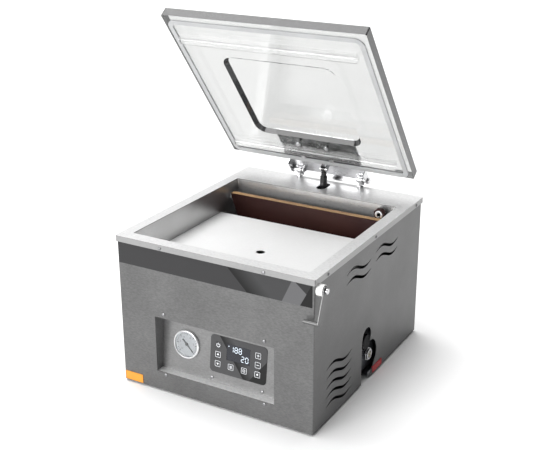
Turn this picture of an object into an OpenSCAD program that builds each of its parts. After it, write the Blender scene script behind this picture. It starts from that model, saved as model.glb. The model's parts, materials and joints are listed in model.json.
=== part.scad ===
// Tabletop chamber vacuum packing machine.
// Frame: +Z up, front towards -Y, right side towards +X.
// The origin is the centre of the base plate's flat underside.

/* [Casing] */
// Width of the sheet casing, side to side
casing_w = 494; // [440:1:600]
// Depth of the sheet casing, front to back
casing_d = 567; // [540:1:700]
// Height of the rim's top face above the base plate's underside
casing_h = 361; // [330:1:440]
// Thickness of the casing sheet
sheet_t = 1.5; // [1:0.1:2]
// Thickness of the base plate
base_t = 2; // [1.5:0.1:3]
// Outside bend radius of the casing's front corners
casing_r = 3; // [2:0.5:6]

/* [Feet] */
// Diameter of a rubber foot
foot_d = 36; // [24:1:50]
// Height of a rubber foot below the base plate
foot_h = 4; // [3:0.5:20]
// Distance of a foot's centre from the casing's sides
foot_inset = 45; // [30:1:70]

/* [Rim] */
// How far the rim's lip stands outside the casing
rim_overhang = 3; // [2.6:0.1:6]
// Thickness of the rim sheet
rim_t = 2; // [1.5:0.1:3]
// Depth of the rim's turned-down lip
lip_h = 14; // [10:1:20]
// Rim width in front of the chamber
rim_front = 29.5; // [24:0.5:50]
// Rim width behind the chamber, which carries the hinge
rim_rear = 99.5; // [92:0.5:140]
// Width of the rim's slot that the lid strut comes through
strut_slot_w = 24; // [22:1:32]
// Length of the rim's slot that the lid strut comes through
strut_slot_l = 50; // [46:1:56]

/* [Chamber] */
// Inside width of the chamber
chamber_w = 444; // [400:1:540]
// Depth of the chamber below the rim's top face
chamber_depth = 150; // [130:1:165]
// Wall thickness of the chamber tub
tub_t = 2; // [1.5:0.1:3]
// Inside corner radius of the chamber tub
chamber_r = 4; // [4:1:20]

/* [Filler plate] */
// Depth of the filler plate's top below the rim
filler_drop = 65.5; // [50:1:90]
// Gap between the filler plate and the seal bar
filler_gap = 40; // [34:1:60]
// Diameter of the finger hole in the filler plate
finger_hole_d = 20; // [18:1:30]
// Thickness of the filler plate's sheet
filler_t = 2; // [1.5:0.1:3]

/* [Seal bar] */
// Gap between each end of the seal bar and the chamber's side wall
bar_end_gap = 7; // [5:0.5:20]
// Thickness of the seal bar, front to back
bar_t = 15; // [14:1:20]
// Depth of the seal bar's working face below the rim
bar_drop = 25.4; // [25:0.1:32]
// Height of the laminate board
bar_h = 90; // [70:1:95]
// How much shorter the board is along its foot, each end
bar_taper = 28.8; // [0:1:40]
// Distance from the chamber's rear wall to the bar's middle
bar_setback = 37; // [35:0.5:50]
// Diameter of a lift piston's rod
lift_rod_d = 12; // [8:1:16]
// Distance of each lift cylinder from the middle
lift_x = 170; // [165:1:185]
// Gap that the lift closes between the bar and the lid's counter bar
lift_gap = 9.4; // [8:0.1:14]

/* [Lid] */
// Width of the lid slab
lid_w = 500; // [460:1:600]
// Thickness of the lid slab
lid_t = 22; // [18:1:30]
// Opening angle of the lid at rest
lid_angle = 52.3; // [40:0.1:60]
// Height of the gasket's seat, from the rim to the lid's inner face
lid_seat = 4; // [3:0.1:6]
// Distance from the rim's rear edge to the lid's rear edge when closed
lid_rear_gap = 81.5; // [78:0.5:84]
// Width of the gasket band
gasket_w = 12; // [8:0.5:13]
// Width of the milled pocket in the lid's inner face
pocket_w = 286; // [200:1:320]
// Length of the milled pocket in the lid's inner face
pocket_l = 272; // [200:1:290]
// Depth of the milled pocket in the lid's inner face
pocket_depth = 10; // [4:0.5:14]
// How far the pocket's walls slope inwards, from its mouth to its floor
pocket_slope = 8; // [2:0.5:12]
// Width of a counter-pressure bar
counter_w = 20; // [16:1:24]

/* [Hinge] */
// Height of the hinge axis above the rim
hinge_rise = 21; // [20:0.5:24]
// Distance of the hinge axis from the rim's rear edge
hinge_setback = 12.5; // [12:0.5:16]
// Distance of each hinge post from the middle
post_x = 86; // [70:1:92]
// Diameter of the hinge bolts
hinge_bolt_d = 8; // [6:0.5:9]
// Width of the lid bracket
bracket_w = 214; // [200:1:260]
// Thickness of the lid bracket's sheet
bracket_t = 2.5; // [2:0.1:3]

/* [Lid strut] */
// Diameter of the strut's tube
strut_tube_d = 18; // [15:0.5:20]
// Diameter of the strut's rod
strut_rod_d = 8; // [6:0.5:9]
// Length of the strut's tube
strut_tube_l = 100; // [90:1:110]

/* [Latch] */
// Length of the latch arm from its pivot to its rod
latch_l = 69.6; // [66:0.1:76]
// Diameter of the latch's rod
latch_rod_d = 9; // [6:0.5:10]
// Length of the latch's spacer
latch_spacer_l = 15; // [8:0.5:18]

/* [Control recess] */
// Width of the control recess
recess_w = 306; // [300:1:340]
// Height of the recess's lower edge
recess_z = 46.5; // [44:0.5:60]
// Height of the recess's opening
recess_h = 136.5; // [132:0.5:145]
// Backward tilt of the control panel
panel_tilt = 6.27; // [2:0.1:8]
// Depth of the recess along its lower edge
recess_depth = 21.2; // [18:0.1:26]

/* [Gauge] */
// Diameter of the gauge's bezel
gauge_d = 68; // [50:1:76]
// Sideways place of the gauge
gauge_x = -88; // [-100:1:-80]

/* [Keypad] */
// Width of the keypad overlay
keypad_w = 144; // [140:1:156]
// Height of the keypad overlay
keypad_h = 88; // [86:1:100]
// Side of a square key
key_s = 15; // [10:0.5:16]
// Sideways distance between keys
key_pitch_x = 34; // [30:0.5:36]
// Upward distance between keys
key_pitch_y = 22; // [18:0.1:24]

/* [Vents] */
// Length of a wave-shaped vent slot
vent_l = 124; // [60:1:150]
// Height of a wave's crest
vent_wave = 7.5; // [2:0.5:8]
// Greatest width of a vent slot
vent_open = 7.5; // [3:0.5:9]
// Upward distance between vent slots
vent_pitch = 23; // [18:0.5:26]

/* [Pump] */
// Diameter of the pump's motor
motor_d = 130; // [100:1:140]
// Diameter of the drive shaft
shaft_d = 16; // [12:1:20]

/* [Hidden] */
$fn = 64;
eps = 0.01;              // overlap that makes a cut clean
run_fit = 0.05;          // radial clearance of a shaft that turns or slides
loose_fit = 0.3;         // clearance between pieces that only lie beside each other

side_x = casing_w / 2;
front_y = -casing_d / 2;
rear_y = casing_d / 2;
rim_w = casing_w + 2 * rim_overhang;
rim_d = casing_d + 2 * rim_overhang;
rim_under = casing_h - rim_t;
lip_z = casing_h - lip_h;
corner_gap = 0.8;        // open seam where two folded lips meet
shell_h = rim_under - 1;

chamber_front = -rim_d / 2 + rim_front;
chamber_rear = rim_d / 2 - rim_rear;
chamber_d = chamber_rear - chamber_front;
chamber_y = (chamber_front + chamber_rear) / 2;
tub_floor = casing_h - chamber_depth;
filler_top = casing_h - filler_drop;
bar_y = chamber_rear - bar_setback;
bar_top = casing_h - bar_drop;
tape_t = 0.5;
wire_t = 0.4;
board_top = bar_top - tape_t - wire_t;
board_foot = board_top - bar_h;
filler_rear = bar_y - bar_t / 2 - filler_gap;
filler_front = chamber_front + 1;
filler_y = (filler_front + filler_rear) / 2;

lid_inner = casing_h + lid_seat;
lid_top = lid_inner + lid_t;
lid_rear = rim_d / 2 - lid_rear_gap;
lid_front = -rim_d / 2 + 0.5;
lid_d = lid_rear - lid_front;
lid_y = (lid_rear + lid_front) / 2;
gasket_t = lid_seat - loose_fit;
gasket_side = 9;         // from the slab's side to the gasket
gasket_front = 12;       // from the slab's front edge to the gasket
gasket_rear = 4;         // from the slab's rear edge to the gasket
pocket_y = chamber_y + 6;
pocket_r = 28;
counter_h = bar_top + lift_gap;          // height of the counter bars' working face
bar_l = chamber_w - 2 * bar_end_gap;    // length of the seal bar along its top edge
counter_l = chamber_w - 8;
holder_t = 4;
counter_front_y = chamber_front + bar_setback - 1;

hinge_y = rim_d / 2 - hinge_setback;
hinge_z = casing_h + hinge_rise;
eye_r = hinge_bolt_d / 2 + 5;
eye_w = 12;
post_d = 8;
post_collar_d = 15;
ear_x = bracket_w / 2;
bracket_front = lid_rear - 90;
bracket_bend = hinge_y + 7;
bracket_flange = 15;     // bent rear edge of the lid bracket
bracket_bolt_x = [-38, 38];
bracket_bolt_y = [lid_rear - 72, lid_rear - 22];
bracket_bolt_d = 6;

strut_pin_d = 6;
strut_clevis_gap = 10.6;
strut_up_y = hinge_y - 39.8;             // upper strut pivot with the lid closed
strut_up_z = hinge_z - 12.2;
strut_open_y = hinge_y + (strut_up_y - hinge_y) * cos(lid_angle)
    + (strut_up_z - hinge_z) * sin(lid_angle);
strut_open_z = hinge_z - (strut_up_y - hinge_y) * sin(lid_angle)
    + (strut_up_z - hinge_z) * cos(lid_angle);
strut_low_y = hinge_y - 40;              // lower strut pivot, fixed to the tub
strut_low_z = casing_h - 136;
strut_len = norm([strut_open_y - strut_low_y, strut_open_z - strut_low_z]);
strut_lean = atan2(strut_open_y - strut_low_y, strut_open_z - strut_low_z);
strut_neck = 19;                         // from the upper pivot to the tube
strut_guide = 10;                        // rod guide at the tube's lower end
strut_piston = 9;
strut_bore_d = strut_tube_d - 3;

latch_y = front_y + 14.5;
latch_z = casing_h - 27;
latch_lean = 21;                         // forward lean of the hanging arm
latch_arm_t = 3;
latch_arm_w = 20;
latch_pin_d = 8;
latch_gap = 0.3;
latch_arm_x = side_x + latch_spacer_l + latch_gap;
latch_rod_l = 35;

recess_top = recess_z + recess_h;
panel_y = front_y + recess_depth;        // the panel's face along the recess's lower edge
panel_rise = tan(panel_tilt);            // how far the panel leans back per unit of height
pan_flange = 16;
pan_screw_x = 129;
pan_screw_low = recess_z - 5.3;
pan_screw_high = recess_top + 10.3;
gauge_s = 71.6;                          // gauge's height along the panel
bezel_h = 6;
gauge_can_d = gauge_d - 7;
gauge_in_d = gauge_d - 8;
dial_t = 0.8;
needle_z = 2.6;
needle_at = -43;                         // pointer's direction at rest
keypad_x = 47;
keypad_s = 68.6;
keypad_t = 1.2;
key_gap = 0.3;
keys_x = keypad_x - 1;
keys_s = 45.6;
display_w = 60;
display_h = 38.5;
display_s = 79.6;
board_z = -8;                            // rear face of the control board, below the panel face
board_t = 1.6;

base_flange_h = 14;
screw_d = 4;
screw_hole_d = 4.6;
screw_head_d = 7.5;
screw_head_h = 2.4;
rim_screw_z = casing_h - 9.2;
rim_screw_x = 130;
rim_screw_y = [-229, 7, 243];

notch_in = 20;           // how far the base plate is cut back under the notch
pump_y = 5;                              // drive shaft's axis
pump_z = 88;
pump_x0 = 95;                            // pump housing's left end
pump_x1 = side_x - 18;                   // its right end, inside the side wall
pump_front = -75;
pump_back = 85;
pump_floor = base_t + 10;
pump_top = 166;
motor_x0 = -95;
cap_y = -15;                             // oil filler cap
cap_z = 98;
cap_d = 38;
glass_y = 5;                             // oil sight glass
glass_z = 58;
port_x = 150;                            // pump's suction port
hose_z = 145;
hose_d = 24;
hose_r = 30;
rotor_x0 = 118;
rotor_x1 = 178;
rotor_d = 56;
cavity_d = 74;
cavity_shift = 7;                        // the pump chamber's axis above the rotor's
suction_x = -105;
suction_y = filler_rear + 20;
port_y = suction_y - hose_r;            // mouth of the pump's suction port
valve_x0 = suction_x - 25;
valve_x1 = suction_x + 25;
valve_y0 = suction_y - 22;
valve_y1 = suction_y + 28;
valve_z0 = 125;
valve_z1 = 180;
inlet_x = -150;         // power inlet's middle on the back panel
inlet_z = 60;
inlet_w = 31;
inlet_h = 24;
nozzle_x = chamber_w / 2 - 35;          // gas nozzle's middle, near the right wall
nozzle_z = casing_h - 18;
nozzle_y = bar_y + bar_t / 2 + 3;

// Rectangle with true round corners, centred on the origin.
module rounded_rect(w, d, r) {
    square([w - 2 * r, d], center = true);
    square([w, d - 2 * r], center = true);
    for (x = [-1, 1], y = [-1, 1])
        translate([x * (w / 2 - r), y * (d / 2 - r)]) circle(r);
}

// Flat-bottomed block with round vertical corners.
module rounded_block(w, d, h, r) {
    linear_extrude(h) rounded_rect(w, d, r);
}

// Block with round corners whose walls lean inwards by slope from its foot to its top.
module tapered_block(w, d, h, r, slope) {
    for (x = [-1, 1], y = [-1, 1])
        translate([x * (w / 2 - r), y * (d / 2 - r), 0]) cylinder(r1 = r, r2 = r - slope, h = h);
    for (side = [[0, w, d], [90, d, w]])
        rotate([90, 0, 90 + side[0]]) translate([0, 0, r - side[1] / 2])
            linear_extrude(side[1] - 2 * r)
                polygon([[-side[2] / 2, 0], [side[2] / 2, 0], [side[2] / 2 - slope, h],
                    [slope - side[2] / 2, h]]);
}

// Cylinder lying along X from x0 to x1.
module rod_x(x0, x1, d) {
    translate([x0, 0, 0]) rotate([0, 90, 0]) cylinder(d = d, h = x1 - x0);
}

// Cylinder lying along Y from y0 to y1.
module rod_y(y0, y1, d) {
    translate([0, y1, 0]) rotate([90, 0, 0]) cylinder(d = d, h = y1 - y0);
}

// Turns the lid's pieces from their closed place to the open rest.
module lid_open() {
    translate([0, hinge_y, hinge_z]) rotate([-lid_angle, 0, 0])
        translate([0, -hinge_y, -hinge_z]) children();
}

// Places pieces along the strut: local Z runs from the upper pivot down to the lower one.
module along_strut() {
    translate([0, strut_open_y, strut_open_z]) rotate([180 - strut_lean, 0, 0]) children();
}

// Local X across, Y up the tilted panel, Z out of its face; the origin is at its lower edge.
module on_panel() {
    translate([0, panel_y, recess_z]) rotate([90 - panel_tilt, 0, 0]) children();
}

// A dome-headed screw along local Z, its head on Z = 0 and its shank below.
module dome_screw(l) {
    intersection() {
        translate([0, 0, screw_head_h - screw_head_d]) sphere(d = 2 * screw_head_d);
        cylinder(d = screw_head_d, h = screw_head_h);
    }
    translate([0, 0, -l]) cylinder(d = screw_d, h = l + eps);
}

// Every place where a dome screw holds the rim, facing outwards along local Z.
module rim_screw_places() {
    for (x = [-rim_screw_x, rim_screw_x]) {
        translate([x, -rim_d / 2, rim_screw_z]) rotate([90, 0, 0]) children();
        translate([x, rim_d / 2, rim_screw_z]) rotate([-90, 0, 0]) children();
    }
    for (y = rim_screw_y) {
        translate([rim_w / 2, y, rim_screw_z]) rotate([0, 90, 0]) children();
        translate([-rim_w / 2, y, rim_screw_z]) rotate([0, -90, 0]) children();
    }
}

// Every place where a dome screw holds the control pan behind the front.
module pan_screw_places() {
    for (x = [-pan_screw_x, pan_screw_x], z = [pan_screw_low, pan_screw_high])
        translate([x, front_y, z]) rotate([90, 0, 0]) children();
}

// The two screws on the tilted panel, which hold the control board's frame.
module board_screw_places() {
    for (x = [keys_x - 65, keys_x + 65]) on_panel() translate([x, 8.7, 0]) children();
}

// The screws that hold the back panel to the base plate's rear flange.
module back_screw_places() {
    for (x = [-side_x + 30, 0, side_x - 30])
        translate([x, rear_y, base_flange_h / 2 + 1]) rotate([-90, 0, 0]) children();
}

// One wave-shaped slot, drawn along X and starting at the origin.
module wave_slot() {
    steps = 28;
    tip = 0.5;
    function mid(t) = vent_wave * sin(360 * t);
    function half(t) = tip + (vent_open / 2 - tip) * sin(180 * t);
    upper = [for (i = [0:steps]) [i / steps * vent_l, mid(i / steps) + half(i / steps)]];
    lower = [for (i = [steps:-1:0]) [i / steps * vent_l, mid(i / steps) - half(i / steps)]];
    polygon(concat(upper, lower));
}

// All slots of one side wall, drawn with X towards the back and Y upwards.
module side_vents() {
    vent_fall = 2.7;
    for (i = [0:4]) translate([front_y + 60, 34 + i * vent_pitch]) rotate(-vent_fall) wave_slot();
    for (i = [0, 1], y = [front_y + 150, front_y + 300])
        translate([y, casing_h - 50 - i * vent_pitch]) rotate(-vent_fall) wave_slot();
}

// Opening in the right wall that shows the pump's oil cap and sight glass.
module service_notch() {
    left = cap_y - 28.5;
    translate([cap_y - 4, cap_z + 15]) circle(24);
    translate([glass_y - 6, glass_z - 1]) circle(40);
    polygon([[left, -1], [glass_y - 5, -1], [glass_y + 19, glass_z - 35],
        [glass_y - 6, glass_z], [cap_y - 4, cap_z + 15], [left, cap_z + 15]]);
}

module body_shell() {
    color("silver") difference() {
        rounded_shell();
        translate([-side_x - 1, 0, 0]) rotate([90, 0, 90])
            linear_extrude(sheet_t + 2) side_vents();
        translate([side_x - sheet_t - 1, 0, 0]) rotate([90, 0, 90])
            linear_extrude(sheet_t + 2) side_vents();
        translate([side_x - sheet_t - 1, 0, 0]) rotate([90, 0, 90])
            linear_extrude(sheet_t + 2) service_notch();
        translate([-recess_w / 2, front_y - 1, recess_z])
            cube([recess_w, sheet_t + 2, recess_h]);
        rim_screw_places() translate([0, 0, -8]) cylinder(d = screw_hole_d, h = 9);
        pan_screw_places() translate([0, 0, -3]) cylinder(d = screw_hole_d, h = 4);
        translate([0, latch_y, latch_z])
            rod_x(side_x - sheet_t - 1, side_x + 1, latch_pin_d + 2 * run_fit);
    }
}

// The front and both sides, folded from one sheet and open at the back.
module rounded_shell() {
    difference() {
        rounded_block(casing_w, casing_d, shell_h, casing_r);
        translate([0, 0, -1])
            rounded_block(casing_w - 2 * sheet_t, casing_d - 2 * sheet_t, shell_h + 2,
                casing_r - sheet_t);
        translate([-side_x + sheet_t, 0, -1])
            cube([casing_w - 2 * sheet_t, casing_d, shell_h + 2]);
    }
}

module back_panel() {
    gap = 0.2;
    w = casing_w - 2 * sheet_t - 2 * gap;
    color("silver") difference() {
        translate([-w / 2, rear_y - sheet_t, base_t]) cube([w, sheet_t, shell_h - base_t]);
        rim_screw_places() translate([0, 0, -8]) cylinder(d = screw_hole_d, h = 9);
        back_screw_places() translate([0, 0, -3]) cylinder(d = screw_hole_d, h = 4);
        for (i = [0:7]) translate([-50, rear_y - 3, 70 + i * 14]) cube([100, 5, 6]);
        translate([inlet_x - inlet_w / 2 - 0.2, rear_y - 3, inlet_z - inlet_h / 2 - 0.2])
            cube([inlet_w + 0.4, 5, inlet_h + 0.4]);
    }
}

module base_plate() {
    gap = 0.2;
    w = casing_w - 2 * sheet_t - 2 * gap;
    d = casing_d - 2 * sheet_t - 2 * gap;
    color("gray") difference() {
        rounded_block(w, d, base_flange_h, casing_r);
        translate([-w / 2 + base_t, -d / 2 + base_t, base_t])
            cube([w - 2 * base_t, d - 2 * base_t, base_flange_h]);
        translate([side_x - notch_in, cap_y - 29, -1])
            cube([notch_in + 1, glass_y - cap_y + 24, base_flange_h + 2]);
        back_screw_places() translate([0, 0, -6]) cylinder(d = screw_hole_d, h = 7);
        for (x = [-1, 1], y = [-1, 1])
            translate([x * (side_x - foot_inset), y * (rear_y - foot_inset), -1])
                cylinder(d = 10, h = base_t + 2);
        for (i = [-4:4]) translate([i * 22, -150, -1]) cylinder(d = 12, h = base_t + 2);
    }
}

module feet() {
    color("black") for (x = [-1, 1], y = [-1, 1])
        translate([x * (side_x - foot_inset), y * (rear_y - foot_inset), 0]) {
            translate([0, 0, -foot_h]) difference() {
                cylinder(d = foot_d, h = foot_h);
                translate([0, 0, -1]) cylinder(d = foot_d / 3, h = foot_h / 2 + 1);
            }
            translate([0, 0, -eps]) cylinder(d = 9.8, h = base_t + eps);
            translate([0, 0, base_t]) cylinder(d = 16, h = 3);
        }
}

module rim_plate() {
    color("gainsboro") difference() {
        translate([0, 0, lip_z]) rounded_block(rim_w, rim_d, lip_h, casing_r + 1);
        translate([0, 0, lip_z - 1])
            rounded_block(rim_w - 2 * rim_t, rim_d - 2 * rim_t, lip_h - rim_t + 1, casing_r);
        translate([0, chamber_y, lip_z])
            rounded_block(chamber_w, chamber_d, lip_h + 1, chamber_r);
        translate([0, strut_low_y + 4, rim_under - 1]) linear_extrude(rim_t + 2) {
            square([strut_slot_w, strut_slot_l - strut_slot_w], center = true);
            for (end = [-1, 1])
                translate([0, end * (strut_slot_l - strut_slot_w) / 2]) circle(d = strut_slot_w);
        }
        for (x = [-post_x, post_x])
            translate([x, hinge_y, rim_under - 1])
                cylinder(d = post_d + 2 * run_fit, h = rim_t + 2);
        rim_screw_places() translate([0, 0, -4]) cylinder(d = screw_hole_d, h = 6);
        for (x = [-1, 1], y = [-1, 1])
            translate([x * rim_w / 2, y * rim_d / 2, lip_z - 1]) rotate([0, 0, x * y * 45])
                translate([-8, -corner_gap / 2, 0]) cube([16, corner_gap, lip_h - rim_t + 1]);
    }
}

module casing_screws() {
    color("white") {
        rim_screw_places() dome_screw(7);
        pan_screw_places() dome_screw(6);
        back_screw_places() dome_screw(5);
        board_screw_places() dome_screw(5);
    }
}

module front_band() {
    band_h = 50;
    color("dimgray") translate([-side_x + 2, front_y - 0.5, lip_z - band_h - 0.5])
        cube([casing_w - 7, 0.5, band_h]);
}

module chamber_tub() {
    color("silver") difference() {
        translate([0, chamber_y, tub_floor - tub_t])
            rounded_block(chamber_w + 2 * tub_t, chamber_d + 2 * tub_t,
                rim_under - tub_floor + tub_t, chamber_r + tub_t);
        translate([0, chamber_y, tub_floor])
            rounded_block(chamber_w, chamber_d, chamber_depth, chamber_r);
        translate([suction_x, suction_y, tub_floor - tub_t - 1])
            cylinder(d = 22.4, h = tub_t + 2);
        for (x = [-lift_x, lift_x])
            translate([x, bar_y, tub_floor - tub_t - 1]) cylinder(d = 22.4, h = tub_t + 2);
        translate([nozzle_x, 0, nozzle_z])
            rod_y(chamber_rear - 1, chamber_rear + tub_t + 1, 14.4);
    }
}

// Loose raised floor: a folded sheet that stands on the tub's floor.
module filler_plate() {
    w = chamber_w - 2;
    d = filler_rear - filler_front;
    color("whitesmoke") difference() {
        translate([0, filler_y, tub_floor])
            rounded_block(w, d, filler_top - tub_floor, chamber_r - 1);
        translate([0, filler_y, tub_floor - 1])
            rounded_block(w - 2 * filler_t, d - 2 * filler_t,
                filler_top - tub_floor - filler_t + 1, chamber_r - 3);
        translate([0, filler_y, filler_top - filler_t - 1])
            cylinder(d = finger_hole_d, h = filler_t + 2);
        for (x = [-1, 1]) translate([x * w / 2, filler_y, tub_floor - 1])
            rounded_block(20, d - 80, 31, 6);
    }
}

module suction_fitting() {
    color("silver") translate([suction_x, suction_y, 0]) difference() {
        union() {
            translate([0, 0, valve_z1]) cylinder(d = 22, h = tub_floor - valve_z1 + 1);
            translate([0, 0, tub_floor]) cylinder(d = 32, h = 3);
        }
        translate([0, 0, valve_z1 - 1]) cylinder(d = 16, h = tub_floor - valve_z1 + 1);
        for (a = [0:60:300])
            rotate([0, 0, a]) translate([5, 0, tub_floor - 1]) cylinder(d = 3.4, h = 5);
    }
}

module seal_bar() {
    top = bar_l / 2;
    foot = top - bar_taper;
    color("maroon") translate([0, bar_y + bar_t / 2, 0]) rotate([90, 0, 0])
        linear_extrude(bar_t)
            polygon([[-top, board_top], [-top, board_top - 4], [-foot, board_foot],
                [foot, board_foot], [top, board_top - 4], [top, board_top]]);
}

module heating_wires() {
    wire_w = 3;
    color("silver") for (y = [-4, 4])
        translate([-bar_l / 2, bar_y + y - wire_w / 2, board_top]) cube([bar_l, wire_w, wire_t]);
}

module sealing_tape() {
    color("tan") translate([-bar_l / 2, bar_y - bar_t / 2, board_top + wire_t])
        cube([bar_l, bar_t, tape_t]);
}

module wire_clamps() {
    clamp_t = 3.5;
    color("silver") for (side = [-1, 1]) {
        translate([side * (bar_l / 2 + clamp_t / 2), bar_y, board_top - 15]) difference() {
            translate([-clamp_t / 2, -6, 0]) cube([clamp_t, 12, 14]);
            rotate([0, 90, 0]) translate([-6, 0, -clamp_t]) cylinder(d = 4, h = 2 * clamp_t);
        }
    }
}

module lift_cylinders() {
    cyl_h = 58;
    neck_top = tub_floor + 14;
    color("gray") for (x = [-lift_x, lift_x]) translate([x, bar_y, 0]) difference() {
        union() {
            translate([0, 0, tub_floor - tub_t - cyl_h]) cylinder(d = 40, h = cyl_h);
            translate([0, 0, tub_floor - tub_t - 1]) cylinder(d = 22, h = neck_top - tub_floor + 3);
        }
        translate([0, 0, tub_floor - tub_t - cyl_h + 4])
            cylinder(d = 30 + 2 * run_fit, h = cyl_h - 18);
        translate([0, 0, tub_floor - cyl_h]) cylinder(d = lift_rod_d + 2 * run_fit, h = 100);
    }
}

module lift_pistons() {
    cyl_foot = tub_floor - tub_t - 58 + 4;
    color("lightgray") for (x = [-lift_x, lift_x]) translate([x, bar_y, 0]) {
        translate([0, 0, cyl_foot + 1]) cylinder(d = 30, h = 8);
        translate([0, 0, cyl_foot + 2]) cylinder(d = lift_rod_d, h = board_foot - cyl_foot - 2);
        translate([0, 0, board_foot - 4]) cylinder(d = lift_rod_d + 2, h = 4);
    }
}

module nozzle_block() {
    color("maroon") translate([nozzle_x, 0, nozzle_z]) difference() {
        translate([0, nozzle_y + 14, 0]) rotate([90, 0, 0]) rotate([0, 0, 22.5])
            cylinder(d = 30, h = 11, $fn = 8);
        rod_y(nozzle_y, nozzle_y + 20, 14 + 2 * run_fit);
    }
}

module gas_nozzle() {
    tail = chamber_rear + tub_t + 12;
    color("silver") translate([nozzle_x, 0, nozzle_z]) difference() {
        union() {
            rod_y(nozzle_y, nozzle_y + 3, 20);
            rod_y(nozzle_y + 1, tail, 14);
        }
        rod_y(nozzle_y - 1, tail + 1, 10);
    }
}

module lid_slab() {
    color("lightcyan", 0.5) lid_open() difference() {
        translate([0, lid_y, lid_inner]) rounded_block(lid_w, lid_d, lid_t, 3);
        translate([0, pocket_y, lid_inner - 1])
            rounded_block(pocket_w, pocket_l, 1 + eps, pocket_r);
        translate([0, pocket_y, lid_inner])
            tapered_block(pocket_w, pocket_l, pocket_depth, pocket_r, pocket_slope);
        for (x = bracket_bolt_x, y = bracket_bolt_y) translate([x, y, lid_inner - 1])
            cylinder(d = bracket_bolt_d + 0.4, h = lid_t + 2);
    }
}

module lid_gasket() {
    w = lid_w - 2 * gasket_side;
    front = lid_front + gasket_front;
    rear = lid_rear - gasket_rear;
    d = rear - front;
    color("lightgray") lid_open() translate([0, (front + rear) / 2, lid_inner - gasket_t])
        difference() {
            rounded_block(w, d, gasket_t, 22);
            translate([0, 0, -1])
                rounded_block(w - 2 * gasket_w, d - 2 * gasket_w, gasket_t + 2, 22 - gasket_w);
        }
}

// Middle line of both counter-pressure bars, across the lid.
module counter_places() {
    for (y = [counter_front_y, bar_y]) translate([0, y, 0]) children();
}

module counter_bars() {
    round_r = counter_w / 2;
    straight = lid_inner - holder_t - counter_h - round_r;
    color("white") lid_open() counter_places()
        translate([-counter_l / 2, 0, counter_h + round_r]) rotate([90, 0, 90])
            linear_extrude(counter_l) {
                intersection() {
                    circle(round_r);
                    translate([-round_r, -round_r]) square([counter_w, round_r + eps]);
                }
                translate([-round_r, 0]) square([counter_w, straight]);
            }
}

module counter_bar_holders() {
    color("lightgray") lid_open() counter_places() difference() {
        translate([-counter_l / 2, -counter_w / 2, lid_inner - holder_t])
            cube([counter_l, counter_w, holder_t]);
        for (x = bracket_bolt_x) translate([x, 0, lid_inner - holder_t - 1])
            cylinder(d = 14, h = holder_t + 2);
    }
}

module lid_bracket() {
    ear_len = 44;
    ear_drop = hinge_z - eye_r - 2;
    tab_t = 2.5;
    slot_w = eye_w + 12;
    color("silver") lid_open() difference() {
        union() {
            translate([-ear_x, bracket_front, lid_top])
                cube([bracket_w, bracket_bend - bracket_front, bracket_t]);
            translate([-ear_x, bracket_bend, lid_top + bracket_t]) rotate([lid_angle - 90, 0, 0])
                translate([0, -1, -bracket_t]) cube([bracket_w, bracket_flange + 1, bracket_t]);
            for (side = [-1, 1]) translate([side * (ear_x - bracket_t / 2), 0, 0]) {
                translate([-bracket_t / 2, bracket_bend - ear_len, ear_drop])
                    cube([bracket_t, ear_len - 8, lid_top - ear_drop + eps]);
                translate([0, hinge_y, hinge_z]) rod_x(-bracket_t / 2, bracket_t / 2, 2 * eye_r);
            }
            for (side = [-1, 1])
                translate([side * (strut_clevis_gap + tab_t) / 2, strut_up_y, strut_up_z]) {
                    rod_x(-tab_t / 2, tab_t / 2, 13);
                    translate([-tab_t / 2, -6.5, 0]) cube([tab_t, 13, lid_top - strut_up_z + eps]);
                }
        }
        translate([0, hinge_y, hinge_z]) rod_x(-ear_x - 1, ear_x + 1, hinge_bolt_d + 2 * run_fit);
        translate([0, strut_up_y, strut_up_z]) rod_x(-20, 20, strut_pin_d + 2 * run_fit);
        for (x = [-post_x, post_x]) translate([x, hinge_y, hinge_z])
            rod_x(-slot_w / 2, slot_w / 2, 2 * eye_r + 2);
        for (x = bracket_bolt_x, y = bracket_bolt_y) translate([x, y, lid_top - 1])
            cylinder(d = bracket_bolt_d + 0.4, h = bracket_t + 2);
    }
}

module bracket_bolts() {
    head_h = 3.5;
    color("silver") lid_open() for (x = bracket_bolt_x, y = bracket_bolt_y)
        translate([x, y, 0]) {
            translate([0, 0, lid_inner - 3]) cylinder(d = bracket_bolt_d, h = lid_t + bracket_t + 3);
            translate([0, 0, lid_top + bracket_t]) cylinder(d = 11, h = head_h);
            translate([0, 0, lid_inner - 4]) cylinder(d = 12, h = 4);
        }
}

module hinge_posts() {
    color("silver") for (x = [-post_x, post_x]) translate([x, hinge_y, 0]) difference() {
        union() {
            translate([0, 0, casing_h]) cylinder(d = post_collar_d, h = 4);
            translate([0, 0, rim_under - 16]) cylinder(d = post_d, h = hinge_rise + 12);
            translate([0, 0, rim_under - 8]) cylinder(d = 15, h = 8, $fn = 6);
            translate([0, 0, hinge_z]) rod_x(-eye_w / 2, eye_w / 2, 2 * eye_r);
        }
        translate([0, 0, hinge_z]) rod_x(-eye_w, eye_w, hinge_bolt_d + 2 * run_fit);
    }
}

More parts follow.
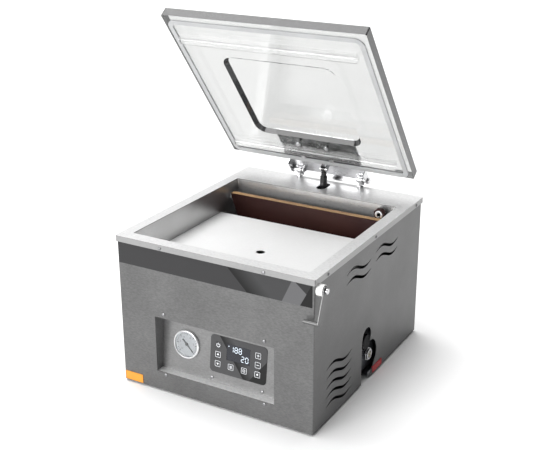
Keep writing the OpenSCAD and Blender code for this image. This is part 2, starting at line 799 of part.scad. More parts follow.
// The two hinge bolts and the bolt of the strut's upper pivot.
module hinge_bolts() {
    inner = post_x - eye_w / 2 - 6;
    clevis = strut_clevis_gap / 2 + 2.5;
    color("silver") lid_open() {
        for (side = [-1, 1])
            translate([0, hinge_y, hinge_z]) mirror([side < 0 ? 1 : 0, 0, 0]) {
                rod_x(inner, ear_x + 1, hinge_bolt_d);
                rod_x(ear_x, ear_x + 4, 14);
                rod_x(inner, inner + 4, 13);
                rod_x(post_x + eye_w / 2 + 0.5, ear_x - bracket_t, hinge_bolt_d + 1.6);
            }
        translate([0, strut_up_y, strut_up_z]) {
            rod_x(-clevis - 0.5, clevis + 0.5, strut_pin_d);
            rod_x(-clevis - 2.5, -clevis, 9);
            rod_x(clevis, clevis + 2.5, 9);
        }
    }
}

module strut_tube() {
    color("black") along_strut() difference() {
        union() {
            rod_x(-5, 5, 13);
            translate([0, 0, 1]) cylinder(d = 9.6, h = strut_neck);
            translate([0, 0, 8]) cylinder(d = 13.5, h = strut_neck - 8 + eps);
            translate([0, 0, strut_neck]) cylinder(d = strut_tube_d, h = strut_tube_l);
        }
        rod_x(-6, 6, strut_pin_d + 2 * run_fit);
        translate([0, 0, strut_neck + 4])
            cylinder(d = strut_bore_d, h = strut_tube_l - strut_guide - 4);
        translate([0, 0, strut_neck + strut_tube_l - strut_guide - 1])
            cylinder(d = strut_rod_d + 2 * run_fit, h = strut_guide + 2);
    }
}

module strut_rod() {
    piston_end = strut_neck + strut_tube_l - strut_guide - 3;
    color("silver") along_strut() difference() {
        union() {
            translate([0, 0, piston_end - strut_piston])
                cylinder(d = strut_bore_d - 2 * run_fit, h = strut_piston);
            translate([0, 0, piston_end - 1])
                cylinder(d = strut_rod_d, h = strut_len - piston_end - 9);
            translate([-3, -13, strut_len - 11]) cube([6, 26, 22]);
        }
        translate([0, 0, strut_len]) {
            translate([-4, -4.4, -6]) cube([8, 8.8, 12]);
            for (y = [-4.4, 4.4]) translate([0, y, 0]) rod_x(-4, 4, 12);
        }
    }
}

module strut_lower_stud() {
    wall = chamber_rear + tub_t;
    color("gray") translate([0, strut_low_y, strut_low_z]) {
        rod_x(-6, 10, strut_rod_d);
        rod_x(-9, -6, 13);
        translate([8, wall - strut_low_y, -12]) cube([2.5, strut_low_y - wall + 8, 24]);
        translate([8, wall - strut_low_y, -12]) cube([22, 2.5, 24]);
    }
}

module lid_sensor() {
    color("black") difference() {
        translate([-62, chamber_rear + tub_t + 8, rim_under - 18]) cube([34, 16, 18]);
        for (x = [-56, -34]) translate([x, 0, rim_under - 9])
            rod_y(chamber_rear + tub_t + 7, chamber_rear + tub_t + 25, 4);
    }
}

module latch_spacer() {
    color("white") translate([0, latch_y, latch_z]) difference() {
        rod_x(side_x, side_x + latch_spacer_l, 25);
        rod_x(side_x - 1, side_x + latch_spacer_l + 1, latch_pin_d + 2 * run_fit);
    }
}

module latch_arm() {
    color("silver") translate([latch_arm_x, latch_y, latch_z]) rotate([-latch_lean, 0, 0])
        difference() {
            union() {
                rod_x(0, latch_arm_t, latch_arm_w + 2);
                translate([0, -latch_arm_w / 2, -latch_l])
                    cube([latch_arm_t, latch_arm_w, latch_l]);
                translate([0, 0, -latch_l]) rod_x(-latch_rod_l, latch_arm_t, latch_rod_d);
            }
            rod_x(-1, latch_arm_t + 1, latch_pin_d + 2 * run_fit);
        }
}

module latch_screw() {
    outer = latch_arm_x + latch_arm_t + latch_gap;
    color("silver") translate([0, latch_y, latch_z]) {
        rod_x(side_x - 8, outer + 1, latch_pin_d);
        rod_x(outer, outer + 4, 13);
        rod_x(side_x - sheet_t - 6.5, side_x - sheet_t, 15);
    }
}

// Side view of the recess with a wall of thickness t around it.
module recess_profile(t) {
    low = panel_y + t;
    high = panel_y + recess_h * panel_rise + t;
    polygon([[front_y + sheet_t, recess_z - t], [low, recess_z - t],
        [high, recess_top + t], [front_y + sheet_t, recess_top + t]]);
}

module control_pan() {
    flange_w = recess_w + 2 * pan_flange;
    color("silver") difference() {
        union() {
            translate([-recess_w / 2 - sheet_t, 0, 0]) rotate([90, 0, 90])
                linear_extrude(recess_w + 2 * sheet_t) recess_profile(sheet_t);
            translate([-flange_w / 2, front_y + sheet_t, recess_z - pan_flange])
                cube([flange_w, sheet_t, recess_h + 2 * pan_flange]);
        }
        translate([-recess_w / 2, 0, 0]) rotate([90, 0, 90])
            linear_extrude(recess_w) recess_profile(0);
        translate([-recess_w / 2, front_y + sheet_t - 1, recess_z])
            cube([recess_w, 2, recess_h]);
        pan_screw_places() translate([0, 0, -5]) cylinder(d = screw_hole_d, h = 6);
        board_screw_places() translate([0, 0, -4]) cylinder(d = screw_hole_d, h = 5);
        on_panel() {
            translate([gauge_x, gauge_s, -5]) cylinder(d = gauge_can_d + 1, h = 6);
            translate([keypad_x - keypad_w / 2 + 8, keypad_s - keypad_h / 2 + 8, -5])
                cube([keypad_w - 16, keypad_h - 16, 6]);
        }
    }
}

module gauge_case() {
    color("white") on_panel() translate([gauge_x, gauge_s, 0]) difference() {
        union() {
            translate([0, 0, -28]) cylinder(d = gauge_can_d, h = 29);
            cylinder(d = gauge_d, h = bezel_h - 2);
            translate([0, 0, bezel_h - 2]) cylinder(d1 = gauge_d, d2 = gauge_d - 4, h = 2);
            translate([0, 0, -40]) cylinder(d = 12, h = 13);
        }
        translate([0, 0, 1]) cylinder(d = gauge_in_d, h = bezel_h);
        translate([0, 0, -6]) cylinder(d = 3 + 2 * run_fit, h = 8);
    }
}

module gauge_dial() {
    color("white") on_panel() translate([gauge_x, gauge_s, 1]) difference() {
        cylinder(d = gauge_in_d - 0.4, h = dial_t);
        translate([0, 0, -1]) cylinder(d = 3.6, h = dial_t + 2);
    }
}

module gauge_needle() {
    tip = gauge_in_d * 0.4;
    color("black") on_panel() translate([gauge_x, gauge_s, 0]) {
        translate([0, 0, -4]) cylinder(d = 3, h = needle_z + 5);
        translate([0, 0, needle_z - 0.4]) cylinder(d = 7, h = 1.6);
        translate([0, 0, needle_z]) rotate([0, 0, needle_at]) linear_extrude(0.8) {
            polygon([[-15, -2], [-15, 2], [0, 1.4], [tip, 0.5], [tip, -0.5], [0, -1.4]]);
            translate([tip - 3, 0]) circle(1.7);
        }
    }
}

module gauge_glass() {
    color("lightcyan", 0.3) on_panel() translate([gauge_x, gauge_s, bezel_h - 1.8])
        cylinder(d = gauge_in_d - 0.2, h = 1);
}

// Every key's place on the panel: column and row of a grid of four by three.
module key_at(column, row) {
    on_panel() translate([keys_x + (column - 1.5) * key_pitch_x,
        keys_s + row * key_pitch_y, 0]) children();
}

module key_holes(gap, z0, h) {
    for (cell = [[0, 0], [0, 1], [0, 2], [1, 0], [2, 0], [3, 0], [3, 1], [3, 2]])
        translate([keys_x + (cell[0] - 1.5) * key_pitch_x, keys_s + cell[1] * key_pitch_y, z0])
            rounded_block(key_s + 2 * gap, key_s + 2 * gap, h, 2.5 + gap);
}

module control_overlay() {
    color("dimgray") on_panel() difference() {
        translate([keypad_x, keypad_s, 0]) rounded_block(keypad_w, keypad_h, keypad_t, 9);
        key_holes(key_gap, -1, keypad_t + 2);
        translate([keypad_x, display_s, -1])
            rounded_block(display_w, display_h, keypad_t + 2, 1);
    }
}

module display_window() {
    color("midnightblue") on_panel() translate([keypad_x, display_s, -0.5])
        rounded_block(display_w - 0.4, display_h - 0.4, keypad_t + 0.3, 0.8);
}

module control_board() {
    color("darkgreen") on_panel() {
        translate([keypad_x, keypad_s, board_z])
            rounded_block(keypad_w - 22, keypad_h - 22, board_t, 2);
        translate([keypad_x, display_s, board_z + board_t - eps])
            rounded_block(display_w + 6, display_h + 4, 4.6, 1);
    }
}

// A key's cap stands a touch proud of the overlay, and its stem reaches towards the board.
module key_cap(column, row) {
    color("gray") key_at(column, row) {
        translate([0, 0, -1]) rounded_block(key_s, key_s, keypad_t + 1.3, 2.5);
        translate([0, 0, board_z + board_t + 0.8]) cylinder(d = 4, h = 5);
    }
}

module key_power() {
    key_cap(0, 2);
}

module key_left_middle() {
    key_cap(0, 1);
}

module key_left_low() {
    key_cap(0, 0);
}

module key_low_second() {
    key_cap(1, 0);
}

module key_low_third() {
    key_cap(2, 0);
}

module key_right_low() {
    key_cap(3, 0);
}

module key_right_middle() {
    key_cap(3, 1);
}

module key_right_top() {
    key_cap(3, 2);
}

module pump_housing() {
    fin_t = 3;
    color("dimgray") difference() {
        union() {
            translate([pump_x0, pump_front, pump_floor])
                cube([pump_x1 - pump_x0, pump_back - pump_front, pump_top - pump_floor]);
            for (i = [0:6]) translate([pump_x0 + 8 + i * 14, pump_front - 6, pump_floor + 20])
                cube([fin_t, 7, pump_top - pump_floor - 40]);
            translate([port_x, 0, hose_z]) rod_y(pump_back - 1, port_y, hose_d + 4);
            for (x = [pump_x0 + 6, pump_x1 - 30], y = [pump_front + 10, pump_back - 34])
                translate([x, y, base_t]) cube([24, 24, pump_floor - base_t + 1]);
        }
        translate([0, pump_y, pump_z + cavity_shift]) rod_x(rotor_x0 - 1, rotor_x1 + 1, cavity_d);
        translate([0, pump_y, pump_z]) rod_x(pump_x0 - 1, rotor_x1 + 12, shaft_d + 2 * run_fit);
        translate([port_x, 0, hose_z]) rod_y(pump_y + 10, port_y + 1, hose_d - 8);
        translate([port_x, pump_y + 17, pump_z + cavity_d / 2])
            cylinder(d = 14, h = hose_z - pump_z - cavity_d / 2);
        translate([0, cap_y, cap_z]) rod_x(pump_x1 - 12, pump_x1 + 1, 20.4);
        translate([0, glass_y, glass_z]) rod_x(pump_x1 - 6, pump_x1 + 1, 20.4);
    }
}

module oil_filler_cap() {
    color("black") translate([0, cap_y, cap_z]) {
        rod_x(pump_x1 - 10, pump_x1 + 1, 20);
        rod_x(pump_x1, pump_x1 + 5, cap_d - 8);
        difference() {
            rod_x(pump_x1 + 4, pump_x1 + 16, cap_d);
            for (a = [0:45:315]) rotate([a, 0, 0]) translate([0, cap_d / 2 + 2, 0])
                rod_x(pump_x1 + 3, pump_x1 + 17, 8);
        }
    }
}

module oil_sight_glass() {
    color("silver") translate([0, glass_y, glass_z]) difference() {
        union() {
            rod_x(pump_x1 - 5, pump_x1 + 1, 20);
            translate([pump_x1, 0, 0]) rotate([0, 90, 0]) cylinder(d = 34, h = 12, $fn = 6);
            rod_x(pump_x1 + 12 - eps, pump_x1 + 16, 26);
        }
        rod_x(pump_x1 + 13, pump_x1 + 17, 17);
    }
}

module pump_motor() {
    fins = 24;
    cowl_x = motor_x0;
    color("slategray") translate([0, pump_y, pump_z]) difference() {
        union() {
            rod_x(cowl_x, pump_x0, motor_d - 14);
            for (i = [0:fins - 1]) rotate([i * 360 / fins, 0, 0])
                translate([cowl_x + 14, motor_d / 2 - 9, -1.2]) cube([pump_x0 - cowl_x - 28, 8, 2.4]);
            for (x = [cowl_x + 30, pump_x0 - 54]) translate([x, -52, base_t - pump_z])
                cube([24, 104, 36]);
        }
        rod_x(cowl_x - 1, pump_x0 + 1, shaft_d + 2 * run_fit);
        rod_x(cowl_x + 20, pump_x0 - 20, 70);
    }
}

module drive_shaft() {
    vane_t = 4;
    color("silver") translate([0, pump_y, pump_z]) {
        rod_x(motor_x0 - 24, rotor_x1 + 10, shaft_d);
        rod_x(motor_x0 + 24, pump_x0 - 24, 66);
        rod_x(rotor_x0, rotor_x1, rotor_d);
        for (a = [30, 150, 270]) rotate([a, 0, 0])
            translate([rotor_x0 + 0.5, 0, -vane_t / 2]) cube([59, rotor_d / 2 + 1.5, vane_t]);
    }
}

module motor_fan() {
    color("black") translate([0, pump_y, pump_z]) difference() {
        union() {
            rod_x(motor_x0 - 24, motor_x0 - 4, 30);
            rod_x(motor_x0 - 6, motor_x0 - 4, 92);
            for (a = [0:45:315]) rotate([a, 0, 0])
                translate([motor_x0 - 22, 12, -1]) cube([17, 38, 2]);
        }
        rod_x(motor_x0 - 25, motor_x0, shaft_d);
    }
}

module fan_cowl() {
    color("black") translate([0, pump_y, pump_z]) difference() {
        rod_x(motor_x0 - 32, motor_x0 + 8, motor_d - 10);
        rod_x(motor_x0 - 30, motor_x0 + 9, motor_d - 13.8);
        for (a = [0:30:330], r = [20, 38]) rotate([a, 0, 0]) translate([0, r, 0])
            rod_x(motor_x0 - 34, motor_x0 - 28, 8);
    }
}

module valve_block() {
    color("slategray") difference() {
        union() {
            translate([valve_x0, valve_y0, valve_z0])
                cube([valve_x1 - valve_x0, valve_y1 - valve_y0, valve_z1 - valve_z0]);
            for (y = [valve_y0 + 13, valve_y1 - 13]) translate([0, y, valve_z0 + 12])
                rod_x(valve_x0 - 40, valve_x0 + 1, 22);
        }
        translate([suction_x, suction_y, hose_z]) cylinder(d = 16, h = 60);
        translate([0, suction_y, hose_z]) rod_x(suction_x, valve_x1 + 1, 16);
    }
}

// Suction hose: straight from the valve block, then a quarter bend into the pump's port.
module vacuum_hose() {
    bend_x = port_x - hose_r;
    color("black") difference() {
        union() {
            translate([0, suction_y, hose_z]) rod_x(valve_x1, bend_x, hose_d);
            translate([bend_x, suction_y - hose_r, hose_z])
                rotate_extrude(angle = 90) translate([hose_r, 0]) circle(d = hose_d);
        }
        translate([0, suction_y, hose_z]) rod_x(valve_x1 - 1, bend_x, hose_d - 6);
        translate([bend_x, suction_y - hose_r, hose_z])
            rotate_extrude(angle = 90) translate([hose_r, 0]) circle(d = hose_d - 6);
    }
}

module transformer() {
    x0 = -side_x + 18;
    color("dimgray") {
        translate([x0, -60, base_t]) cube([74, 88, 12]);
        translate([x0 + 4, -48, base_t + 12 - eps]) cube([66, 64, 60]);
        translate([x0 + 16, -58, base_t + 20]) cube([42, 84, 44]);
    }
}

module power_inlet() {
    depth = 22;
    socket_w = 24.4;
    socket_h = 16.6;
    color("black") translate([inlet_x, rear_y, inlet_z]) {
        difference() {
            union() {
                translate([-26, 0, -15]) cube([52, 2.5, 30]);
                translate([-inlet_w / 2, -depth, -inlet_h / 2])
                    cube([inlet_w, depth + eps, inlet_h]);
            }
            translate([-socket_w / 2, 3 - depth, -socket_h / 2]) cube([socket_w, depth, socket_h]);
        }
        for (pin = [[-7, -2.5], [0, 1.5], [7, -2.5]])
            translate([pin[0] - 1, 3 - depth - eps, pin[1] - 2]) cube([2, 15, 4]);
    }
}

body_shell();
back_panel();
base_plate();
feet();
rim_plate();
casing_screws();
front_band();
chamber_tub();
filler_plate();
suction_fitting();
seal_bar();
sealing_tape();
heating_wires();
wire_clamps();
lift_cylinders();
lift_pistons();
gas_nozzle();
nozzle_block();
lid_slab();
lid_gasket();
counter_bars();
counter_bar_holders();
lid_bracket();
bracket_bolts();
hinge_posts();
hinge_bolts();
strut_tube();
strut_rod();
strut_lower_stud();
lid_sensor();
latch_spacer();
latch_arm();
latch_screw();
control_pan();
gauge_case();
gauge_dial();
gauge_needle();
gauge_glass();
control_overlay();
display_window();
control_board();
key_power();
key_left_middle();
key_left_low();
key_low_second();
key_low_third();
key_right_low();
key_right_middle();
key_right_top();
pump_housing();
pump_motor();
drive_shaft();
motor_fan();
fan_cowl();
oil_filler_cap();
oil_sight_glass();
vacuum_hose();
valve_block();
transformer();
power_inlet();
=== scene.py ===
"""The looks of a tabletop chamber vacuum packing machine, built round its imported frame."""

import json
import math

import bmesh
import bpy
from mathutils import Matrix, Vector

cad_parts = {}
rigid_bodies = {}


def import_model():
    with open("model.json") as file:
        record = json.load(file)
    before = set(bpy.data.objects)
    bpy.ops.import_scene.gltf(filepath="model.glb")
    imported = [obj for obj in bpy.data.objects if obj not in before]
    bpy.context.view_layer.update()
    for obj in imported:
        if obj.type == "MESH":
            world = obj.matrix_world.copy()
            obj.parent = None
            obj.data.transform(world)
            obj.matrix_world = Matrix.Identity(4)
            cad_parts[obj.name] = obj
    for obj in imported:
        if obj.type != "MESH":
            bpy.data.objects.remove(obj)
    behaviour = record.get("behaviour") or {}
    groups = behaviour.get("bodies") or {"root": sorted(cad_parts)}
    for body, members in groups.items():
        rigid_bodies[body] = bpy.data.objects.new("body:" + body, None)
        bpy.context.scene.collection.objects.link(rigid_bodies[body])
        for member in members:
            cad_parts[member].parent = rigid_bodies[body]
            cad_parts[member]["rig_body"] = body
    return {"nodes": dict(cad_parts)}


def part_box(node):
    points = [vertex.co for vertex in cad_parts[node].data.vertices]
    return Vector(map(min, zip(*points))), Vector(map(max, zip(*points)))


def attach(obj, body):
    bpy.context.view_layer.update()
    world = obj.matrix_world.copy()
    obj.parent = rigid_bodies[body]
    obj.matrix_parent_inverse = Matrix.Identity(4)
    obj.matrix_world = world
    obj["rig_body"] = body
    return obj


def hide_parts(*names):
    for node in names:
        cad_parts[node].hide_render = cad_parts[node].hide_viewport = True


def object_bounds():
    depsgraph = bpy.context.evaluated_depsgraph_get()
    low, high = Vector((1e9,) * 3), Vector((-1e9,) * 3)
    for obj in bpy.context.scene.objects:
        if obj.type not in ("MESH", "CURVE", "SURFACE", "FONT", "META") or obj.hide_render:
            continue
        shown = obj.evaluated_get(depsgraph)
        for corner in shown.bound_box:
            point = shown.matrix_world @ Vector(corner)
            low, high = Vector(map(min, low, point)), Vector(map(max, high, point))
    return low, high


MM = 0.001
LID_ANGLE = math.radians(52.3)
PANEL_TILT = math.radians(6.27)
PANEL_FOOT = 46.5 * MM              # the panel's lower edge above the casing's
OVERLAY_T = 1.2 * MM                # thickness of the key plate
WINDOW_UP = 79.6 * MM               # the display's middle, up the panel
WINDOW_FACE = 1.1 * MM              # height of the marks on the display
KEY_FACE = 1.5 * MM                 # height of a key's cap above the panel
DIAL_FACE = 1.8 * MM                # height of the gauge dial above the panel
MARK_T = 0.08 * MM                  # thickness of a printed mark
SCREW_HEAD_D = 7.5 * MM             # width of a casing screw's dome

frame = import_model()
cad_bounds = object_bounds()


# ---------------------------------------------------------------- working with objects

def deselect_all():
    bpy.ops.object.select_all(action="DESELECT")


def activate(piece):
    deselect_all()
    piece.select_set(True)
    bpy.context.view_layer.objects.active = piece


def apply_place(piece):
    activate(piece)
    bpy.ops.object.transform_apply(location=True, rotation=True, scale=True)


def add_modifier(piece, kind, **settings):
    """Adds a modifier with these settings and applies it."""
    activate(piece)
    modifier = piece.modifiers.new(kind.title(), kind)
    for key, value in settings.items():
        setattr(modifier, key, value)
    bpy.ops.object.modifier_apply(modifier=modifier.name)


def smooth(piece):
    activate(piece)
    bpy.ops.object.shade_smooth_by_angle(angle=math.radians(35))


def round_edges(piece, width):
    add_modifier(piece, "BEVEL", width=width, segments=2, limit_method="ANGLE",
                 angle_limit=math.radians(38), use_clamp_overlap=True, harden_normals=False)


def finish_piece(piece, name, material, body):
    """Names a finished piece, gives it its material and lets it ride on its body."""
    piece.name = name
    piece.data.name = name
    piece.data.materials.clear()
    piece.data.materials.append(material)
    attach(piece, body)
    return piece


def join(pieces):
    deselect_all()
    for piece in pieces:
        piece.select_set(True)
    bpy.context.view_layer.objects.active = pieces[0]
    if len(pieces) > 1:
        bpy.ops.object.join()
    return pieces[0]


def rounded_copy(node, width, material):
    """A copy of a CAD node with its doubles merged and its edges rounded, which stands for the node."""
    source = frame["nodes"][node]
    piece = source.copy()
    piece.data = source.data.copy()
    for key in list(piece.keys()):
        if key.startswith("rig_"):
            del piece[key]
    bpy.context.scene.collection.objects.link(piece)
    piece.parent = None
    activate(piece)
    bpy.ops.object.mode_set(mode="EDIT")
    bpy.ops.mesh.select_all(action="SELECT")
    bpy.ops.mesh.remove_doubles(threshold=1e-6)
    bpy.ops.mesh.dissolve_limited(angle_limit=math.radians(1))
    bpy.ops.mesh.customdata_custom_splitnormals_clear()
    bpy.ops.object.mode_set(mode="OBJECT")
    smooth(piece)
    if width:
        round_edges(piece, width)
    add_modifier(piece, "WEIGHTED_NORMAL", keep_sharp=True, weight=100)
    finish_piece(piece, node + ".finished", material, source["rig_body"])
    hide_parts(node)


def block(size, place, turn=None):
    """A box of this size, centred on place, in metres; turn is a matrix that is applied before the move."""
    deselect_all()
    bpy.ops.mesh.primitive_cube_add(size=1, location=(0, 0, 0))
    piece = bpy.context.object
    piece.scale = size
    apply_place(piece)
    move = Matrix.Translation(place) @ (turn.to_4x4() if turn else Matrix.Identity(4))
    piece.data.transform(move)
    return piece


def disc(radius, depth, place, turn=None, vertices=32):
    """A short cylinder along its own Z, centred on place."""
    deselect_all()
    bpy.ops.mesh.primitive_cylinder_add(vertices=vertices, radius=radius, depth=depth)
    piece = bpy.context.object
    move = Matrix.Translation(place) @ (turn.to_4x4() if turn else Matrix.Identity(4))
    piece.data.transform(move)
    return piece


# ---------------------------------------------------------------- materials

class Shader:
    """A material's nodes and the links between them."""

    def __init__(self, name):
        self.material = bpy.data.materials.new(name)
        self.material.use_nodes = True
        self.tree = self.material.node_tree
        self.base = self.tree.nodes["Principled BSDF"]
        self.coords = self.tree.nodes.new("ShaderNodeTexCoord")

    def node(self, kind, **settings):
        node = self.tree.nodes.new(kind)
        for key, value in settings.items():
            setattr(node, key, value)
        return node

    def link(self, source, target):
        self.tree.links.new(source, target)

    def set(self, **values):
        for key, value in values.items():
            self.base.inputs[key.replace("_", " ")].default_value = value

    def stretched(self, scale):
        mapping = self.node("ShaderNodeMapping")
        mapping.inputs["Scale"].default_value = scale
        self.link(self.coords.outputs["Object"], mapping.inputs["Vector"])
        return mapping.outputs["Vector"]

    def noise(self, scale, detail=4.0, roughness=0.6, vector=None):
        noise = self.node("ShaderNodeTexNoise")
        noise.inputs["Scale"].default_value = scale
        noise.inputs["Detail"].default_value = detail
        noise.inputs["Roughness"].default_value = roughness
        self.link(vector or self.coords.outputs["Object"], noise.inputs["Vector"])
        return noise.outputs["Fac"]

    def ramp(self, value, low, high, start=0.3, end=0.7):
        """Maps a value between two greys or colours."""
        ramp = self.node("ShaderNodeValToRGB")
        ramp.color_ramp.elements[0].position = start
        ramp.color_ramp.elements[1].position = end
        ramp.color_ramp.elements[0].color = (*low, 1) if isinstance(low, tuple) else (low, low, low, 1)
        ramp.color_ramp.elements[1].color = (*high, 1) if isinstance(high, tuple) else (high, high, high, 1)
        self.link(value, ramp.inputs["Fac"])
        return ramp.outputs["Color"]

    def math(self, operation, first, second):
        node = self.node("ShaderNodeMath", operation=operation)
        for socket, value in zip(node.inputs, (first, second)):
            if isinstance(value, (int, float)):
                socket.default_value = value
            else:
                self.link(value, socket)
        return node.outputs[0]

    def mix(self, factor, first, second):
        mix = self.node("ShaderNodeMix", data_type="RGBA")
        for socket, value in ((mix.inputs[0], factor), (mix.inputs[6], first), (mix.inputs[7], second)):
            if isinstance(value, tuple):
                socket.default_value = (*value, 1)
            elif isinstance(value, (int, float)):
                socket.default_value = value
            else:
                self.link(value, socket)
        return mix.outputs[2]

    def bump(self, height, strength, distance):
        bump = self.node("ShaderNodeBump")
        bump.inputs["Strength"].default_value = strength
        bump.inputs["Distance"].default_value = distance
        self.link(height, bump.inputs["Height"])
        self.link(bump.outputs["Normal"], self.base.inputs["Normal"])


def brushed_steel(name, grey, rough, stretch, metal, contrast=0.12, painted_top_light=None):
    """Satin stainless sheet: fine scratches over a cloudy tone; faces that look up can take a lighter tone of
    their own, a painted highlight standing in for overhead light.
    """
    s = Shader(name)
    s.set(Metallic=metal, Specular_IOR_Level=0.5)
    scratches = s.noise(1.0, 3.0, 0.7, s.stretched(stretch))
    clouds = s.noise(9.0, 3.0, 0.55)
    tone = s.ramp(clouds, grey * (1 - contrast / 4), grey * (1 + contrast / 4), 0.35, 0.65)
    line = s.ramp(scratches, 1 - contrast, 1.0, 0.3, 0.7)
    mixed = s.node("ShaderNodeMix", data_type="RGBA", blend_type="MULTIPLY")
    mixed.inputs[0].default_value = 1.0
    s.link(tone, mixed.inputs[6])
    s.link(line, mixed.inputs[7])
    colour = mixed.outputs[2]
    if painted_top_light:
        # painted highlight: faces whose normal points up take the lighter tone, in place of light from above
        split = s.node("ShaderNodeSeparateXYZ")
        s.link(s.coords.outputs["Normal"], split.inputs[0])
        painted_top_tone = s.ramp(scratches, painted_top_light * 0.8, painted_top_light, 0.3, 0.7)
        colour = s.mix(s.ramp(split.outputs[2], 0.0, 1.0, 0.7, 0.9), colour, painted_top_tone)
    s.link(colour, s.base.inputs["Base Color"])
    s.link(s.ramp(scratches, rough - 0.06, rough + 0.08, 0.3, 0.7), s.base.inputs["Roughness"])
    s.bump(scratches, 0.12, 0.15 * MM)
    return s.material


def plain_metal(name, colour, rough, metal=1.0):
    """Turned or plated metal with a faint grain and smudges."""
    s = Shader(name)
    s.set(Metallic=metal)
    fine = s.noise(220.0, 4.0, 0.6)
    smudge = s.noise(30.0, 3.0, 0.5)
    low = tuple(c * 0.88 for c in colour)
    s.link(s.ramp(smudge, low, tuple(colour), 0.3, 0.7), s.base.inputs["Base Color"])
    s.link(s.ramp(smudge, rough - 0.04, rough + 0.08, 0.3, 0.7), s.base.inputs["Roughness"])
    s.bump(fine, 0.08, 0.0001)
    return s.material


def plastic(name, colour, rough, grain=900.0, strength=0.1, coat=0.0, gloss=0.5):
    """Moulded plastic, rubber or paint: fine grain and a slight change of tone."""
    s = Shader(name)
    s.set(Coat_Weight=coat, Coat_Roughness=0.08, Specular_IOR_Level=gloss)
    fine = s.noise(grain, 2.0, 0.5)
    slow = s.noise(14.0, 3.0, 0.5)
    high = tuple(min(1.0, c * 1.12) for c in colour)
    s.link(s.ramp(slow, tuple(colour), high, 0.35, 0.65), s.base.inputs["Base Color"])
    s.link(s.ramp(fine, rough - 0.05, rough + 0.07, 0.3, 0.7), s.base.inputs["Roughness"])
    s.bump(fine, strength, 0.0001)
    return s.material


def clear_solid(name, tint, rough, edge=None, facing=None):
    """Clear acrylic, glass or silicone with faint wiping marks.

    Faces turned away from facing show a darker colour, painted shade that stands in for the dark reflections
    along a clear slab's edges.
    """
    s = Shader(name)
    s.set(Transmission_Weight=1.0, IOR=1.04, Coat_Weight=1.0, Coat_IOR=1.5, Coat_Roughness=0.02)
    haze = s.noise(60.0, 3.0, 0.5)
    s.link(s.ramp(haze, rough, rough + 0.02, 0.4, 0.7), s.base.inputs["Roughness"])
    colour = s.ramp(haze, tuple(c * 0.985 for c in tint), tint, 0.3, 0.7)
    # painted shade: darkens faces turned away from facing, standing in for reflections in the edges
    if edge:
        dot = s.node("ShaderNodeVectorMath", operation="DOT_PRODUCT")
        s.link(s.coords.outputs["Normal"], dot.inputs[0])
        dot.inputs[1].default_value = facing
        flat = s.math("ABSOLUTE", dot.outputs["Value"], 0.0)
        clouds = s.noise(16.0, 3.0, 0.6)
        dark = s.ramp(clouds, tuple(c * 0.7 for c in edge), edge, 0.3, 0.7)
        colour = s.mix(s.ramp(flat, 0.0, 1.0, 0.86, 0.96), dark, colour)
    s.link(colour, s.base.inputs["Base Color"])
    return s.material


def laminate_board(name):
    """Dark red paper laminate: smooth faces, and thin layers where it is cut."""
    s = Shader(name)
    layers = s.noise(1.0, 2.0, 0.5, s.stretched((3, 2600, 3)))
    cloud = s.noise(20.0, 3.0, 0.5)
    face = s.ramp(cloud, (0.018, 0.0025, 0.003), (0.026, 0.004, 0.004))
    colour = s.mix(s.ramp(layers, 0.0, 0.3, 0.45, 0.6), face, (0.06, 0.022, 0.012))
    s.link(colour, s.base.inputs["Base Color"])
    s.set(Roughness=0.5, Specular_IOR_Level=0.25)
    s.bump(layers, 0.05, 0.0001)
    return s.material


def coated_cloth(name):
    """Tan glass cloth tape: a fine square weave under a matt coating."""
    s = Shader(name)
    weave = []
    for axis in ("X", "Y"):
        wave = s.node("ShaderNodeTexWave", wave_type="BANDS", bands_direction=axis)
        wave.inputs["Scale"].default_value = 420
        s.link(s.coords.outputs["Object"], wave.inputs["Vector"])
        weave.append(wave.outputs["Fac"])
    height = s.math("ADD", weave[0], weave[1])
    cloud = s.noise(35.0, 3.0, 0.6)
    s.link(s.ramp(cloud, (0.36, 0.20, 0.085), (0.50, 0.30, 0.13)), s.base.inputs["Base Color"])
    s.set(Roughness=0.55)
    s.bump(height, 0.25, 0.0002)
    return s.material


def facet_film(name, base, middle, facets):
    """Printed film that breaks into slanting light and dark facets.

    A facet is (start along X at the middle height, slant, width of its soft edge, tone), and covers all
    that lies to the right of its start.
    """
    s = Shader(name)
    place = s.node("ShaderNodeSeparateXYZ")
    s.link(s.coords.outputs["Object"], place.inputs[0])
    height = s.math("SUBTRACT", place.outputs[2], middle)
    colour = base
    for start, slant, soft, tone in facets:
        along = s.math("SUBTRACT", place.outputs[0], s.math("MULTIPLY", height, slant))
        step = s.math("DIVIDE", s.math("SUBTRACT", along, start), soft)
        clamp = s.node("ShaderNodeClamp")
        s.link(step, clamp.inputs[0])
        colour = s.mix(clamp.outputs[0], colour, (tone, tone, tone * 1.04))
    s.link(colour, s.base.inputs["Base Color"])
    fine = s.noise(700.0, 2.0, 0.5)
    s.link(s.ramp(fine, 0.34, 0.42), s.base.inputs["Roughness"])
    s.set(Specular_IOR_Level=0.3)
    s.bump(fine, 0.04, 0.0001)
    return s.material


def glowing(name, colour, strength):
    """Lit segment, or printed mark with a painted glow: even colour with a faint mottling, and its own light.
    """
    s = Shader(name)
    fine = s.noise(400.0, 2.0, 0.5)
    s.link(s.ramp(fine, tuple(c * 0.9 for c in colour), colour), s.base.inputs["Base Color"])
    s.set(Roughness=0.5, Emission_Strength=strength)
    s.base.inputs["Emission Color"].default_value = (*colour, 1)
    return s.material


FINE_ACROSS = (140, 380, 380)       # short scratches along X

